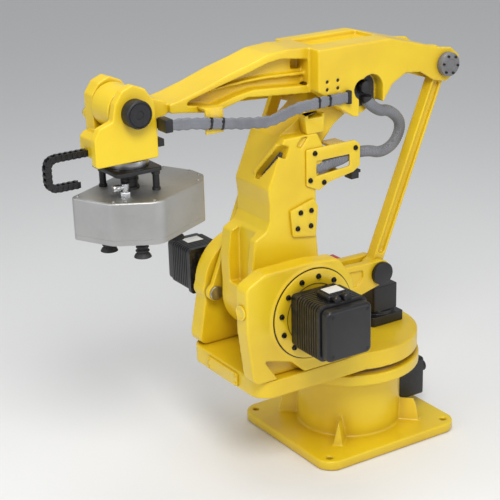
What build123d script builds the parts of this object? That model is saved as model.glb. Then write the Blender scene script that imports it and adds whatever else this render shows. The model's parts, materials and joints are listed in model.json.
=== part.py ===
from build123d import *
import math
import os

# Four-axis parallel-link packing arm. Millimetres, +Z up, +X the way the arm
# faces, origin on the floor of the base under the first axis.

# ---- driving dimensions -------------------------------------------------
SHOULDER = (300.0, 560.0)        # lower arm axis (x, z)
LOWER_LEN = 700.0                # lower arm, axis to axis
LOWER_LEAN = 22.5                # lean back at rest, degrees
UPPER_LEN = 785.0                # upper arm, elbow to wrist
UPPER_RISE = 3.5                 # rise towards the wrist at rest, degrees
CRANK_LEN = 332.5                # crank and rear lever, axis to axis
CRANK_RISE = 5.75                # rise of crank and rear lever at rest
LINK_OFFSET = (145.0, -6.0)      # levelling link lever at shoulder and elbow
HEAD_OFFSET = (10.0, -50.0)      # levelling link lever at elbow and wrist
ARM_HALF = 95.0                  # half width of the lower arm
WALL_IN, WALL_OUT = 62.0, 118.0  # upper arm side walls, distance from middle
ROD_Y = (64.0, 104.0)            # rod lies between these
BOLT_R = 5.5                     # clearance radius of an M10 screw
FOOT_HOLE_R = 11.0               # clearance radius of an M20 screw
FOOT_X, FOOT_Y = 480.0, 440.0    # foot hole spacing
TOOL_X = 800.0                   # fourth axis
RUN = 0.05                       # radial running clearance


def polar(p, length, degrees):
    a = math.radians(degrees)
    return (p[0] + length * math.cos(a), p[1] + length * math.sin(a))


def add(p, d):
    return (p[0] + d[0], p[1] + d[1])


ELBOW = polar(SHOULDER, LOWER_LEN, 90 + LOWER_LEAN)
WRIST = polar(ELBOW, UPPER_LEN, UPPER_RISE)
CRANK_END = polar(SHOULDER, CRANK_LEN, 180 - CRANK_RISE)
LEVER_END = polar(ELBOW, CRANK_LEN, 180 - CRANK_RISE)
LINK_FOOT = add(SHOULDER, LINK_OFFSET)
LINK_HEAD = add(ELBOW, LINK_OFFSET)
HEAD_A = add(ELBOW, HEAD_OFFSET)
HEAD_B = add(WRIST, HEAD_OFFSET)
ROD_ANGLE = 90 + LOWER_LEAN


# ---- helpers: each works in the sub-part block that calls it -----------
def slab(points, y0, y1, r=0.0, mode=Mode.ADD):
    """Closed (x, z) outline, from y0 to y1, every corner rounded by r."""
    with BuildSketch(Plane.XZ.offset(-y1)) as s:
        with BuildLine():
            if r:
                FilletPolyline(*points, radius=r, close=True)
            else:
                Polyline(*points, close=True)
        make_face()
    extrude(s.sketch, amount=y1 - y0, mode=mode)


def disc(p, r, y0, y1, mode=Mode.ADD):
    """Round piece along Y, centred on p = (x, z)."""
    with BuildSketch(Plane.XZ.offset(-y1)) as s:
        with Locations(p):
            Circle(r)
    extrude(s.sketch, amount=y1 - y0, mode=mode)


def bar(p, q, half, y0, y1, mode=Mode.ADD):
    """Straight bar with round ends between two (x, z) points."""
    mid = ((p[0] + q[0]) / 2, (p[1] + q[1]) / 2)
    length = math.hypot(q[0] - p[0], q[1] - p[1])
    angle = math.degrees(math.atan2(q[1] - p[1], q[0] - p[0]))
    with BuildSketch(Plane.XZ.offset(-y1)) as s:
        with Locations(Location((mid[0], mid[1], 0), (0, 0, angle))):
            SlotCenterToCenter(length, 2 * half)
    extrude(s.sketch, amount=y1 - y0, mode=mode)


def block(x0, x1, y0, y1, z0, z1, mode=Mode.ADD):
    with Locations(((x0 + x1) / 2, (y0 + y1) / 2, (z0 + z1) / 2)):
        Box(x1 - x0, y1 - y0, z1 - z0, mode=mode)


def post(p, r, z0, z1, mode=Mode.ADD):
    """Round piece along Z, centred on p = (x, y)."""
    with BuildSketch(Plane.XY.offset(z0)) as s:
        with Locations(p):
            Circle(r)
    extrude(s.sketch, amount=z1 - z0, mode=mode)


def plan(points, z0, z1, r=0.0, mode=Mode.ADD):
    """Closed (x, y) outline, from z0 to z1."""
    with BuildSketch(Plane.XY.offset(z0)) as s:
        with BuildLine():
            if r:
                FilletPolyline(*points, radius=r, close=True)
            else:
                Polyline(*points, close=True)
        make_face()
    extrude(s.sketch, amount=z1 - z0, mode=mode)


def ring_points(p, r, count, start=0.0):
    return [polar(p, r, start + 360.0 * i / count) for i in range(count)]


PARTS = []


def keep(builder, name):
    builder.part.label = name
    PARTS.append((name, builder.part))


# ======================= base (stands still) =============================
with BuildPart() as base_casting:
    with BuildSketch() as foot:
        RectangleRounded(560, 520, 60)
    extrude(amount=34)
    post((0, 0), 175, 34, 250)
    post((0, 0), 238, 250, 288)
    for a in (45, 135, 225, 315):
        with BuildSketch(Plane.XY.offset(34)):
            with Locations(Location((0, 0, 0), (0, 0, a))):
                with Locations((190, 0)):
                    Rectangle(110, 34)
        extrude(amount=130, taper=12)
    with BuildSketch(Plane.XY):
        with GridLocations(FOOT_X, FOOT_Y, 2, 2):
            Circle(FOOT_HOLE_R)
    extrude(amount=34, mode=Mode.SUBTRACT)
keep(base_casting, "base_casting")

with BuildPart() as connector_panel:
    block(-262, -140, -85, 85, 70, 210)
    fillet(connector_panel.edges().filter_by(Axis.X), 10)
    post((0, 0), 175, 40, 240, mode=Mode.SUBTRACT)
keep(connector_panel, "connector_panel")

with BuildPart() as base_connectors:
    for y, z, r in ((-55, 165, 20), (0, 165, 20), (55, 165, 20), (-45, 110, 15), (0, 110, 15), (45, 110, 15)):
        with BuildSketch(Plane(origin=(-262, y, z), x_dir=(0, 1, 0), z_dir=(-1, 0, 0))):
            Circle(r)
        extrude(amount=22)
keep(base_connectors, "base_connectors")

with BuildPart() as first_axis_ring:
    post((0, 0), 205, 288, 304)
keep(first_axis_ring, "first_axis_ring")

# ======================= turntable (first axis) ==========================
with BuildPart() as turntable_casting:
    post((0, 0), 232, 304.5, 366)
    block(0, 500, -215, 215, 304.5, 366)
    fillet(turntable_casting.edges().filter_by(Axis.Z).group_by(Axis.X)[-1], 60)
    for x in (150, 270, 390):
        for y in (-110, 0, 110):
            block(x - 45, x + 45, y - 42, y + 42, 304.5, 346, mode=Mode.SUBTRACT)
keep(turntable_casting, "turntable_casting")

with BuildPart() as first_axis_motor:
    block(-185, -55, -65, 65, 366, 400)
    post((-120, 0), 60, 400, 412)
    block(-170, -70, -50, 50, 412, 500)
    fillet(first_axis_motor.edges().filter_by(Axis.Z), 8)
keep(first_axis_motor, "first_axis_motor")

with BuildPart() as left_ear:
    slab([(150, 366), (136, 560), (142, 640), (196, 716), (300, 728), (470, 726), (541, 690), (541, 540), (520, 366)],
         155, 215, r=28)
    disc(SHOULDER, 152, 213, 219)
    disc(SHOULDER, 146, 216, 219.5, mode=Mode.SUBTRACT)
    disc(SHOULDER, 84, 154, 216, mode=Mode.SUBTRACT)
    slab([(330, 366), (430, 366), (480, 440), (380, 412)], 185, 220, mode=Mode.SUBTRACT)
keep(left_ear, "left_ear")

with BuildPart() as right_ear:
    slab([(150, 366), (138, 520), (180, 620), (420, 620), (470, 520), (500, 366)], -215, -150, r=30)
    disc(SHOULDER, 172, -215, -150)
    disc(SHOULDER, 138, -224, -215)
    disc(SHOULDER, 92, -225, -149, mode=Mode.SUBTRACT)
    disc(LINK_FOOT, 32, -215, -150)
keep(right_ear, "right_ear")

with BuildPart() as left_hub_flange:
    disc(SHOULDER, 145.5, 216, 224)
    disc(SHOULDER, 83.5, 156, 216)
    disc(SHOULDER, 100, 222, 224.5, mode=Mode.SUBTRACT)
keep(left_hub_flange, "left_hub_flange")

with BuildPart() as left_hub_bolts:
    for p in ring_points(SHOULDER, 122, 12, 8.5):
        disc(p, 8, 224, 231)
keep(left_hub_bolts, "left_hub_bolts")

with BuildPart() as right_hub_flange:
    disc(SHOULDER, 91.5, -224, -151)
    disc(SHOULDER, 136, -232, -224)
keep(right_hub_flange, "right_hub_flange")

with BuildPart() as right_hub_bolts:
    for p in ring_points(SHOULDER, 118, 12, 15):
        if not (324 < p[0] < 486 and 509 < p[1] < 686):
            disc(p, 8, -239, -232)
keep(right_hub_bolts, "right_hub_bolts")

with BuildPart() as crank_motor:
    slab([(215, 475), (385, 475), (385, 645), (215, 645)], 224, 250, r=14)
    slab([(210, 470), (390, 470), (390, 650), (210, 650)], 250, 376, r=20)
    slab([(218, 478), (382, 478), (382, 642), (218, 642)], 376, 412, r=16)
    block(262, 338, 290, 356, 648, 672)
keep(crank_motor, "crank_motor")

with BuildPart() as arm_motor:
    slab([(335, 520), (475, 520), (475, 675), (335, 675)], -250, -232, r=12)
    slab([(339, 524), (471, 524), (471, 671), (339, 671)], -366, -250, r=16)
    slab([(343, 528), (467, 528), (467, 667), (343, 667)], -396, -366, r=14)
keep(arm_motor, "arm_motor")

with BuildPart() as motor_labels:
    with Locations(Location((300, 322, 672.6))):
        Box(58, 44, 1.2)
    with Locations(Location((405, -330, 671.6))):
        Box(60, 44, 1.2)
keep(motor_labels, "motor_labels")

with BuildPart() as round_cover:
    with BuildSketch(Plane(origin=(541, 186, 610), x_dir=(0, 1, 0), z_dir=(1, 0, 0))):
        Circle(24)
    extrude(amount=7)
    with BuildSketch(Plane(origin=(546, 186, 610), x_dir=(0, 1, 0), z_dir=(1, 0, 0))) as rc:
        Circle(18)
    extrude(rc.sketch, amount=3, mode=Mode.SUBTRACT)
keep(round_cover, "round_cover")

with BuildPart() as front_cover:
    with BuildSketch(Plane(origin=(500, 0, 336), x_dir=(0, 1, 0), z_dir=(1, 0, 0))):
        RectangleRounded(180, 44, 8)
    extrude(amount=8)
    with BuildSketch(Plane(origin=(508, 0, 336), x_dir=(0, 1, 0), z_dir=(1, 0, 0))):
        with GridLocations(160, 26, 2, 2):
            Circle(5)
    extrude(amount=4)
keep(front_cover, "front_cover")

with BuildPart() as transport_bracket:
    block(70, 82, -60, 20, 366, 600)
    block(20, 82, -60, 20, 600, 612)
    with BuildSketch(Plane.XY.offset(600)):
        with Locations((45, -20)):
            Circle(8)
    extrude(amount=12, mode=Mode.SUBTRACT)
keep(transport_bracket, "transport_bracket")

with BuildPart() as link_foot_pin:
    disc(LINK_FOOT, 15, -150, -116)
    disc(LINK_FOOT, 24, -120.5, -114)
    disc(LINK_FOOT, 24, -150, -144)
keep(link_foot_pin, "link_foot_pin")

# ======================= lower arm =======================================
with BuildPart() as lower_arm_casting:
    disc(SHOULDER, 138, -97, 97)
    slab([(190, 560), (186, 660), (195, 760), (196, 924), (158, 1030), (190, 1092), (312, 1092),
          (352, 995), (375, 942), (369, 890), (371, 838), (386, 808), (428, 786), (440, 700), (436, 560)],
         -ARM_HALF, ARM_HALF, r=9)
    slab([(196, 930), (150, 1040), (100, 1096), (-36, 1180), (12, 1275), (64, 1275), (215, 1150), (312, 1092),
          (350, 1000)], -58, 58, r=14)
    disc(ELBOW, 80, -58, 58)
    block(160, 232, 20, 58, 1092, 1146)
    # cored far side
    slab([(226, 690), (228, 925), (196, 1040), (210, 1058), (290, 1058), (318, 990), (338, 930), (336, 830), (352, 792),
          (390, 762), (396, 700)], -96, 40, r=18, mode=Mode.SUBTRACT)
    # slanted slot of the front face, with the raised web beside it
    with BuildSketch(Plane(origin=(339.6, 0, 1025), x_dir=(0, 1, 0), z_dir=(0.9243, 0, 0.3817))) as web:
        with BuildLine():
            Polyline((74, 49), (4, -57), (-7, -50), (63, 56), close=True)
        make_face()
    extrude(web.sketch, amount=8)
    extrude(web.sketch, amount=-10)
    with BuildSketch(Plane(origin=(339.6, 0, 1025), x_dir=(0, 1, 0), z_dir=(0.9243, 0, 0.3817))) as slot:
        with BuildLine():
            Polyline((98, 56), (98, 24), (28, -71), (6, -72), (4, -57), (74, 49), close=True)
        make_face()
    extrude(slot.sketch, amount=-28, mode=Mode.SUBTRACT)
    # pocket of the near side
    slab([(222, 1086), (246, 1086), (268, 1062), (250, 1052)], 84, 96, mode=Mode.SUBTRACT)
    # tall arched recess of the front face
    with BuildSketch(Plane(origin=(450, 0, 0), x_dir=(0, 1, 0), z_dir=(1, 0, 0))) as arch:
        with Locations((10, 690)):
            Rectangle(110, 150)
        with Locations((10, 765)):
            Circle(55)
    extrude(arch.sketch, amount=-52, mode=Mode.SUBTRACT)
    disc(SHOULDER, 60, -98, 98, mode=Mode.SUBTRACT)
    disc(ELBOW, 32 + RUN, -60, 60, mode=Mode.SUBTRACT)
keep(lower_arm_casting, "lower_arm_casting")

with BuildPart() as arm_output_flange:
    disc(SHOULDER, 90, -149.4, -97)
    disc(SHOULDER, 59.5, -97, 40)
keep(arm_output_flange, "arm_output_flange")

with BuildPart() as side_pad:
    slab([(212, 886), (300, 862), (292, 776), (204, 762), (196, 860)], 95, 104, r=8)
    for p in ((262, 850), (222, 850), (274, 800), (224, 800)):
        disc(p, 4, 94, 105, mode=Mode.SUBTRACT)
keep(side_pad, "side_pad")

with BuildPart() as side_pad_bolts:
    for p in ((262, 850), (222, 850), (274, 800), (224, 800)):
        disc(p, 7.5, 104, 110)
keep(side_pad_bolts, "side_pad_bolts")

with BuildPart() as hose_bracket:
    slab([(236, 1046), (236, 930), (188, 908), (150, 928), (56, 944), (30, 960), (30, 1030), (52, 1046)], 95, 101, r=6)
    slab([(198, 1004), (70, 1004), (70, 966), (198, 956)], 94, 102, r=5, mode=Mode.SUBTRACT)
    slab([(144, 1046), (84, 1046), (84, 1038), (144, 1038)], 40, 96)
    slab([(180, 952), (90, 952), (90, 944), (180, 944)], 40, 95.5)
    slab([(110, 1046), (110, 944), (84, 944), (84, 1046)], 40, 46, r=4)
keep(hose_bracket, "hose_bracket")

with BuildPart() as hose_bracket_bolts:
    for p in ((204, 1030), (48, 1021), (222, 946), (170, 931)):
        disc(p, 7.5, 101, 107)
keep(hose_bracket_bolts, "hose_bracket_bolts")

with BuildPart() as arm_cable_box:
    slab([(166, 1092), (228, 1092), (236, 1150), (160, 1150)], 59, 94, r=4)
    block(170, 222, 60, 94.5, 1140, 1151, mode=Mode.SUBTRACT)
keep(arm_cable_box, "arm_cable_box")

with BuildPart() as lower_duct:
    with BuildLine() as duct_path:
        FilletPolyline((160, 70, 985), (100, 70, 995), (40, 70, 995), radius=40)
    with BuildSketch(Plane(origin=duct_path.line @ 0, z_dir=duct_path.line % 0)):
        Circle(19)
    sweep()
keep(lower_duct, "lower_duct")

with BuildPart() as arm_connector:
    block(20, 58, 46, 92, 934, 943.5)
    block(24, 54, 50, 88, 914, 934)
keep(arm_connector, "arm_connector")

# ======================= crank ===========================================
with BuildPart() as crank:
    disc(SHOULDER, 94, 98.5, 154.4)
    slab([(300, 650), (120, 640), polar(CRANK_END, 42, 90), polar(CRANK_END, 42, 265), (90, 520), (250, 480)],
         107, 134, r=4)
    disc(CRANK_END, 42, 107, 134)
    slab([(136, 634), polar(CRANK_END, 40, 88), polar(CRANK_END, 40, 265), (100, 528), (136, 540)], 30, 60.5, r=4)
    disc(CRANK_END, 40, 30, 60.5)
    slab([(136, 634), (106, 630), (106, 532), (136, 540)], 30, 134)
    slab([(220, 625), (40, 616), (40, 590), (60, 566), (110, 566), (200, 560)], 126, 136, r=8, mode=Mode.SUBTRACT)
    disc(CRANK_END, 18 + RUN, 20, 140, mode=Mode.SUBTRACT)
keep(crank, "crank")

with BuildPart() as crank_pin:
    disc(CRANK_END, 18, 22, 140)
    disc(CRANK_END, 38, 134.4, 150)
    disc(CRANK_END, 30, 22, 29.6)
keep(crank_pin, "crank_pin")

with BuildPart() as crank_cable_loop:
    with BuildLine() as loop_path:
        FilletPolyline((175, 116, 489), (112, 116, 470), (62, 116, 486), (46, 116, 522), radius=20)
    with BuildSketch(Plane(origin=loop_path.line @ 0, z_dir=loop_path.line % 0)):
        Circle(6)
    sweep()
keep(crank_cable_loop, "crank_cable_loop")

# ======================= rod =============================================
with BuildPart() as rod:
    bar(CRANK_END, LEVER_END, 21, ROD_Y[0], ROD_Y[1])
    disc(CRANK_END, 38, ROD_Y[0], ROD_Y[1])
    disc(LEVER_END, 34, ROD_Y[0], ROD_Y[1])
    bar(polar(CRANK_END, 70, ROD_ANGLE), polar(LEVER_END, -70, ROD_ANGLE), 12, ROD_Y[1] - 12, ROD_Y[1], mode=Mode.SUBTRACT)
    bar(polar(CRANK_END, 70, ROD_ANGLE), polar(LEVER_END, -70, ROD_ANGLE), 12, ROD_Y[0], ROD_Y[0] + 12, mode=Mode.SUBTRACT)
    disc(CRANK_END, 18 + RUN, 60, 110, mode=Mode.SUBTRACT)
    disc(LEVER_END, 18.5, 60, 110, mode=Mode.SUBTRACT)
keep(rod, "rod")

# ======================= elbow rocker (stays level) ======================
with BuildPart() as elbow_shaft:
    disc(ELBOW, 32, -165, 74)
keep(elbow_shaft, "elbow_shaft")

with BuildPart() as levelling_rocker:
    with BuildSketch(Plane.XZ.offset(145)) as rk:
        with BuildLine():
            FilletPolyline(polar(ELBOW, 60, 130), polar(LINK_HEAD, 44, 48), polar(LINK_HEAD, 48, -60),
                           polar(HEAD_A, 48, -70), polar(HEAD_A, 48, -140), polar(ELBOW, 62, 200), radius=18, close=True)
        make_face()
    extrude(rk.sketch, amount=20)
    disc(ELBOW, 32, -166, -144, mode=Mode.SUBTRACT)
keep(levelling_rocker, "levelling_rocker")

with BuildPart() as rocker_pins:
    disc(LINK_HEAD, 15, -145, -118.5)
    disc(LINK_HEAD, 22, -121.5, -119)
    disc(HEAD_A, 12, -190, -165)
    disc(HEAD_A, 18, -193, -187.5)
keep(rocker_pins, "rocker_pins")

with BuildPart() as duct_elbow:
    disc((6, 1207), 22, 79, 103)
    with BuildSketch(Plane.XZ.offset(-75)) as stem:
        with Locations(ELBOW):
            Circle(20)
    extrude(stem.sketch, amount=-5)
keep(duct_elbow, "duct_elbow")

with BuildPart() as elbow_hose:
    with BuildLine() as hose_path:
        FilletPolyline((39.5, 70, 995), (-20, 70, 995), (-90, 54, 968), (-160, 44, 985), (-190, 42, 1050), (-120, 60, 1108),
                       (-40, 94, 1122), (4, 94, 1166), radius=24)
    with BuildSketch(Plane(origin=hose_path.line @ 0, z_dir=hose_path.line % 0)):
        Circle(17.5)
    sweep()
keep(elbow_hose, "elbow_hose")

# ======================= levelling links =================================
with BuildPart() as lower_link:
    bar(LINK_FOOT, LINK_HEAD, 20, -143.4, -122)
    disc(LINK_FOOT, 28, -143.4, -122)
    disc(LINK_HEAD, 28, -143.4, -122)
    disc(LINK_FOOT, 15 + RUN, -150, -110, mode=Mode.SUBTRACT)
    disc(LINK_HEAD, 15 + RUN, -150, -110, mode=Mode.SUBTRACT)
keep(lower_link, "lower_link")

with BuildPart() as upper_link:
    bar(HEAD_A, HEAD_B, 15, -187, -167)
    disc(HEAD_A, 21, -187, -167)
    disc(HEAD_B, 21, -187, -167)
    disc(HEAD_A, 12 + RUN, -195, -160, mode=Mode.SUBTRACT)
    disc(HEAD_B, 12 + RUN, -195, -160, mode=Mode.SUBTRACT)
keep(upper_link, "upper_link")

# ======================= upper arm =======================================
NEAR = [(200, 1351), (200, 1222), (118, 1160), (66, 1126), (2, 1120), (-44, 1150), (-84, 1206), (-137, 1234),
        (-196, 1228), (-250, 1194), (-300, 1182), (-352, 1212), (-352, 1262), (-318, 1290), (-262, 1298), (-74, 1350)]
with BuildPart() as upper_arm_casting:
    # outer side plates, full length of the rear half
    for y0, y1 in ((107, WALL_OUT), (-WALL_OUT, -107)):
        slab(NEAR, y0, y1, r=8)
    # thick hub walls
    HUB = [(200, 1351), (200, 1222), (118, 1160), (66, 1126), (2, 1120), (-44, 1150), (-84, 1206), (-137, 1240),
           (-120, 1330), (-74, 1350)]
    for y0, y1 in ((WALL_IN, 108), (-108, -WALL_IN)):
        slab(HUB, y0, y1, r=8)
    # roof over the elbow slot
    slab([(200, 1351), (200, 1292), (-90, 1292), (-210, 1286), (-262, 1286), (-262, 1298), (-74, 1350)], -116, 116)
    # inner rear lug of the rod clevis
    slab([(-60, 1300), (-60, 1215), (-196, 1214), (-262, 1190), (-300, 1188), (-345, 1215), (-345, 1258), (-310, 1288),
          (-240, 1296)], 30, 60.5, r=8)
    slab([(-60, 1300), (-60, 1215), (-137, 1240), (-200, 1290)], -62, 62)
    # front beam
    slab([(160, 1350), (264, 1357), (342, 1352), (405, 1333), (486, 1312), (570, 1284), (650, 1262), (690, 1254),
          (690, 1228), (640, 1222), (538, 1206), (456, 1226), (423, 1234), (371, 1228), (189, 1212), (160, 1205)],
         -70, 70, r=6)
    slab([(690, 1262), (WRIST[0] - 20, 1300), (WRIST[0] + 20, 1300), (WRIST[0] + 20, 1215), (WRIST[0] - 20, 1205),
          (690, 1222)], -52, 52, r=4)
    disc(WRIST, 66, -52, 52)
    # elbow slot for the head of the lower arm
    slab([(105, 1290), (240, 1224), (252, 1180), (150, 1100), (-60, 1100), (-60, 1290)], -62, 62, mode=Mode.SUBTRACT)
    disc(ELBOW, 84, -62, 62, mode=Mode.SUBTRACT)
    # long recess of the front beam, both sides
    REC = [(204, 1318), (300, 1332), (350, 1326), (420, 1306), (520, 1282), (620, 1256), (640, 1244), (540, 1226),
           (456, 1246), (400, 1254), (300, 1246), (204, 1238)]
    slab(REC, 34, 72, r=5, mode=Mode.SUBTRACT)
    slab(REC, -72, -34, r=5, mode=Mode.SUBTRACT)
    # ridge along the recess, and the deep pocket at its rear end
    for y0, y1 in ((33, 48), (-48, -33)):
        slab([(203, 1266), (203, 1277), (349, 1284), (470, 1280), (545, 1271), (545, 1264), (470, 1271), (349, 1274)],
             y0, y1)
    slab([(206, 1284), (206, 1311), (244, 1317), (244, 1288)], 12, 40, r=4, mode=Mode.SUBTRACT)
    # arched window of the near wall
    with BuildSketch(Plane.XZ.offset(-120)) as win:
        with Locations((0, 1155)):
            Rectangle(92, 96)
        with Locations((0, 1203)):
            Circle(46)
    extrude(win.sketch, amount=45, mode=Mode.SUBTRACT)
    disc(ELBOW, 60, 75, 104, mode=Mode.SUBTRACT)
    # top opening
    block(-78, 168, -70, 34, 1333, 1362, mode=Mode.SUBTRACT)
    # bores
    disc(ELBOW, 32 + RUN, -120, 120, mode=Mode.SUBTRACT)
    disc(LEVER_END, 18 + RUN, 20, 119, mode=Mode.SUBTRACT)
    disc(WRIST, 24 + RUN, -60, 60, mode=Mode.SUBTRACT)
    for p in ((167, 1250), (127, 1250), (167, 1226), (127, 1226)):
        disc(p, BOLT_R, 100, 119, mode=Mode.SUBTRACT)
keep(upper_arm_casting, "upper_arm_casting")

with BuildPart() as lever_pin:
    disc(LEVER_END, 18, 24, 118)
    disc(LEVER_END, 38, 118, 140)
    disc(LEVER_END, 30, 24, 30)
keep(lever_pin, "lever_pin")

with BuildPart() as lever_pin_bolts:
    for p in ring_points(LEVER_END, 29, 6, 10):
        disc(p, 4.5, 140, 145)
keep(lever_pin_bolts, "lever_pin_bolts")

with BuildPart() as flat_conduit:
    slab([(97, 1211), (97, 1177), (287, 1174), (287, 1212)], 118.2, 132, r=3)
    slab([(287, 1212), (287, 1174), (383, 1148), (383, 1182)], 118.2, 132)
    slab([(383, 1182), (383, 1148), (518, 1165), (647, 1188), (647, 1221), (518, 1200)], 118.2, 132)
keep(flat_conduit, "flat_conduit")

with BuildPart() as conduit_clamps:
    block(87, 97, 118, 134, 1174, 1214)
    block(160, 170, 132, 136, 1172, 1216)
    block(200, 210, 132, 136, 1172, 1216)
    block(545, 552, 132, 136, 1166, 1208)
    block(585, 592, 132, 136, 1172, 1214)
keep(conduit_clamps, "conduit_clamps")

with BuildPart() as conduit_stays:
    block(540, 600, 70, 118, 1228, 1236)
    block(540, 600, 110, 118, 1160, 1236)
keep(conduit_stays, "conduit_stays")

# ======================= wrist (stays level) =============================
with BuildPart() as wrist_housing:
    CHEEK = [(742, 1112), (742, 1200), (748, 1275), (776, 1318), (WRIST[0], 1334), (850, 1320), (874, 1286), (874, 1112)]
    slab([(742, 1112), (742, 1200), (748, 1275), (776, 1318), (WRIST[0], 1334), (850, 1320), (874, 1286), (884, 1238),
          (926, 1224), (944, 1194), (944, 1112)], 56, 85, r=9)
    slab(CHEEK, -110, -56, r=12)
    slab([(742, 1112), (742, 1138), (790, 1178), (874, 1184), (874, 1112)], -110, 85)
    slab([(870, 1112), (870, 1184), (892, 1184), (908, 1168), (908, 1112)], -88, 85)
    block(TOOL_X - 60, TOOL_X + 60, -60, 60, 1104, 1113)
    disc(HEAD_B, 24, -165, -110)
    disc(WRIST, 24, 50, 86, mode=Mode.SUBTRACT)
    disc(WRIST, 24, -111, -50, mode=Mode.SUBTRACT)
    # dark opening of the front face and recess of the near cheek
    block(862, 876, 20, 60, 1215, 1268, mode=Mode.SUBTRACT)
    disc(WRIST, 74, 54, 56.5, mode=Mode.SUBTRACT)
    disc(WRIST, 74, -56.5, -54, mode=Mode.SUBTRACT)
keep(wrist_housing, "wrist_housing")

with BuildPart() as wrist_pin:
    disc(WRIST, 24, -110, 85)
keep(wrist_pin, "wrist_pin")

with BuildPart() as wrist_caps:
    disc(WRIST, 41, 85, 122)
    disc(WRIST, 24, -122, -110)
keep(wrist_caps, "wrist_caps")

with BuildPart() as wrist_link_pin:
    disc(HEAD_B, 12, -190, -165)
    disc(HEAD_B, 18, -193, -187.5)
keep(wrist_link_pin, "wrist_link_pin")

with BuildPart() as tool_motor:
    block(750, 840, -143, -110, 1096, 1176)
    block(754, 836, -164, -143, 1100, 1172)
keep(tool_motor, "tool_motor")

with BuildPart() as wrist_connectors:
    block(722, 742, 73, 85, 1196, 1224)
    block(722, 742, 50, 85, 1142, 1164)
    block(718, 742, 85, 134, 1192, 1230)
keep(wrist_connectors, "wrist_connectors")

with BuildPart() as wrist_conduit:
    slab([(647.5, 1221), (647.5, 1188), (718, 1195), (718, 1227)], 118.2, 132)
keep(wrist_conduit, "wrist_conduit")

# ======================= tool (fourth axis) ==============================
with BuildPart() as tool_flange:
    post((TOOL_X, 0), 62, 1082, 1103.5)
keep(tool_flange, "tool_flange")

with BuildPart() as adapter_plate:
    with BuildSketch(Plane.XY.offset(1070)) as ap:
        with Locations((TOOL_X + 3, -4)):
            RectangleRounded(150, 170, 14)
    extrude(ap.sketch, amount=12)
keep(adapter_plate, "adapter_plate")

GRIP = (772.0, 12.0)
CG, SG = math.cos(math.radians(27)), math.sin(math.radians(27))


def grip(points):
    return [(GRIP[0] + a * CG - b * SG, GRIP[1] + a * SG + b * CG) for a, b in points]


OUTER = [(176, -126), (176, 20), (100, 137), (-136, 137), (-188, 104), (-212, 50), (-212, -50), (-188, -102), (-136, -130)]
INNER = [(171, -121), (171, 18), (97, 132), (-134, 132), (-184, 101), (-207, 49), (-207, -49), (-184, -99), (-134, -125)]
with BuildPart() as gripper_housing:
    plan(grip(OUTER), 884, 1012, r=16)
    plan(grip(INNER), 883, 1007, r=14, mode=Mode.SUBTRACT)
    with BuildSketch(Plane.XY.offset(1006)) as gh:
        with Locations((TOOL_X, 0)):
            Circle(20)
    extrude(gh.sketch, amount=8, mode=Mode.SUBTRACT)
keep(gripper_housing, "gripper_housing")

with BuildPart() as gripper_base:
    plan(grip(INNER), 884, 892, r=14)
    with BuildSketch(Plane.XY.offset(884)) as gb:
        for p in grip([(90, -60), (90, 60), (-90, -60), (-90, 60)]):
            with Locations(p):
                Circle(6)
    extrude(gb.sketch, amount=8, mode=Mode.SUBTRACT)
keep(gripper_base, "gripper_base")

POSTS = [(746, 66), (746, -70), (856, -60)]
with BuildPart() as standoffs:
    for p in POSTS:
        post(p, 11, 1012, 1070)
    post((TOOL_X, 0), 27, 1012, 1070)
keep(standoffs, "standoffs")

with BuildPart() as vacuum_fitting:
    post((TOOL_X + 52, 74), 15, 1012, 1030)
    post((TOOL_X + 52, 74), 10, 1030, 1052)
    block(TOOL_X + 42, TOOL_X + 92, 66, 82, 1034, 1050)
keep(vacuum_fitting, "vacuum_fitting")

with BuildPart() as cable_chain:
    with BuildLine() as chain_path:
        FilletPolyline((908.5, -50, 1126), (1036, -50, 1126), (1036, -50, 1036), (940, -50, 1036), radius=30)
    with BuildSketch(Plane(origin=chain_path.line @ 0, x_dir=(0, 1, 0), z_dir=chain_path.line % 0)):
        Rectangle(26, 22)
    sweep()
keep(cable_chain, "cable_chain")

with BuildPart() as suction_cups:
    for p in grip([(90, -60), (90, 60), (-90, -60), (-90, 60)]):
        post(p, 6, 862, 892)
        with BuildSketch(Plane.XY.offset(862)) as cup:
            with Locations(p):
                Circle(20)
        extrude(cup.sketch, amount=-30, taper=-14)
keep(suction_cups, "suction_cups")

# ---- write one STEP per sub-part ---------------------------------------
os.makedirs("parts", exist_ok=True)
for name, solid in PARTS:
    export_step(solid, "parts/" + name + ".step")
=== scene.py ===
import bpy
import bmesh
import json
import math
from mathutils import Vector, Matrix, Quaternion


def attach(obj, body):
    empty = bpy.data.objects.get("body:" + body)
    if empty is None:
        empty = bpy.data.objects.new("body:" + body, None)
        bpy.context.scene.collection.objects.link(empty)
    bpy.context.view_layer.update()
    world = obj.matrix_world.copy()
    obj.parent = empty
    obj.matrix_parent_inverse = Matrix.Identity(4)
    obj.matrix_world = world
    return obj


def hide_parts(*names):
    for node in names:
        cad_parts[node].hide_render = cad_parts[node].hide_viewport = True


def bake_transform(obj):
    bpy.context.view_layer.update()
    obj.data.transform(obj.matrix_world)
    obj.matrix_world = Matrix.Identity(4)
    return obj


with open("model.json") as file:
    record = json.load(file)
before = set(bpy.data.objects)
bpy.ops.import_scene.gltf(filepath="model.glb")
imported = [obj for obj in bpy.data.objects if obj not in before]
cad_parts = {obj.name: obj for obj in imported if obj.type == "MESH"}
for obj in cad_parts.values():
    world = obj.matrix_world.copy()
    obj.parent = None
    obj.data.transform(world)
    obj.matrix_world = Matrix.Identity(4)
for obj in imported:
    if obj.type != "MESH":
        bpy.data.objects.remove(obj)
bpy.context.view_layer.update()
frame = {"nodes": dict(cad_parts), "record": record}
N = frame["nodes"]
BODY = {n: b for b, ns in frame["record"]["behaviour"]["bodies"].items() for n in ns}
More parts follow.
